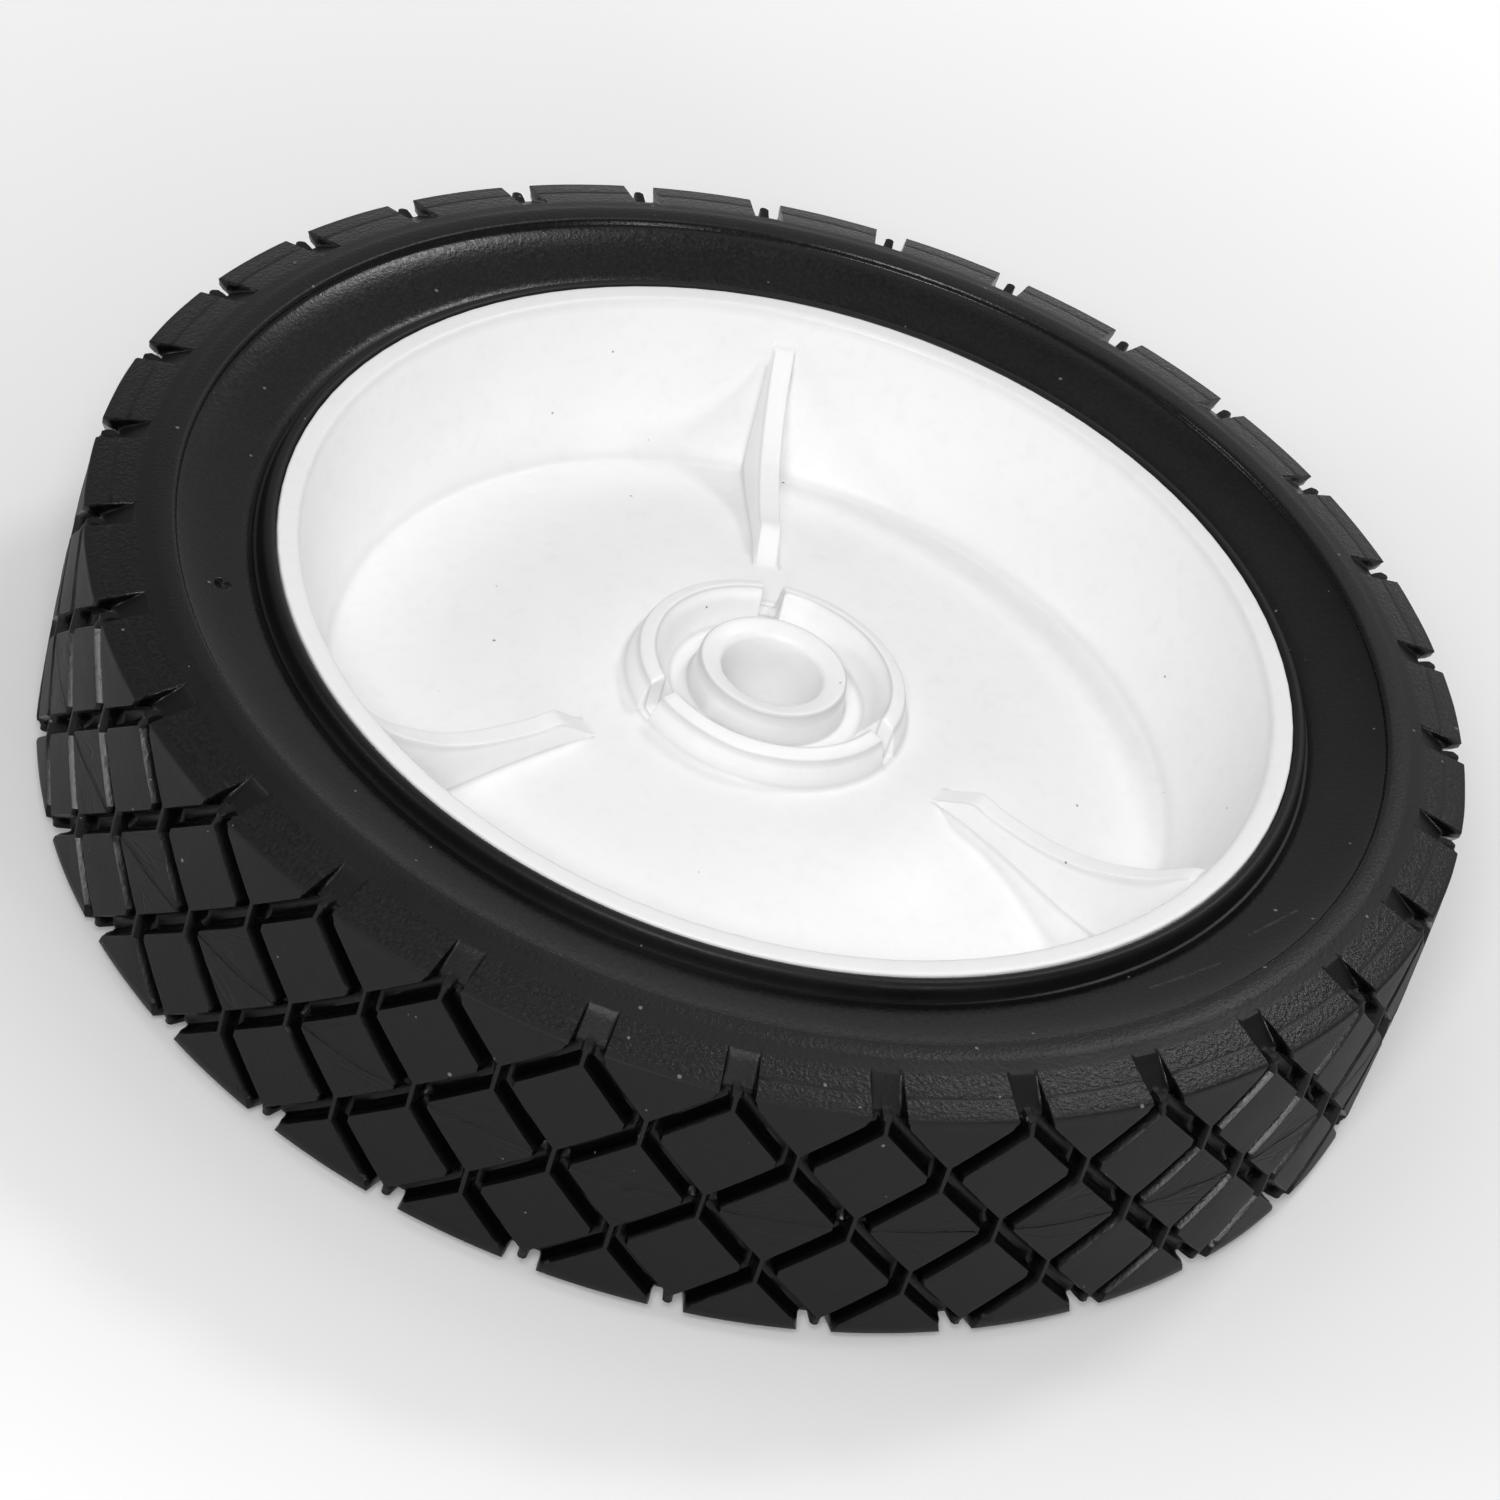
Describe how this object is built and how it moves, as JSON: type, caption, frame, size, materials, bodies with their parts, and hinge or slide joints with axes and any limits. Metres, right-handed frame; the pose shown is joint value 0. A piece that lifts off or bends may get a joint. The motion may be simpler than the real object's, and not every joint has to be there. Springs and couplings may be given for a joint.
{
  "type": "lawn mower wheel",
  "caption": "Spare lawn mower wheel: a diamond-tread rubber tyre on a one-piece dished plastic hub with gusset ribs and a plain axle bore.",
  "frame": {"origin": "wheel centre: the axle axis at the tread mid-plane", "axes": "+Z along the axle, out of the deep dished side with the ribs; X and Y in the tread mid-plane"},
  "size_m": [0.1778, 0.1778, 0.04],
  "materials": {
    "tyre_rubber": "satin moulded rubber",
    "hub_plastic": "semi-matte moulded plastic"
  },
  "bodies": {
    "root": {"tyre": "tyre_rubber", "wheel_hub": "hub_plastic"}
  },
  "joints": []
}
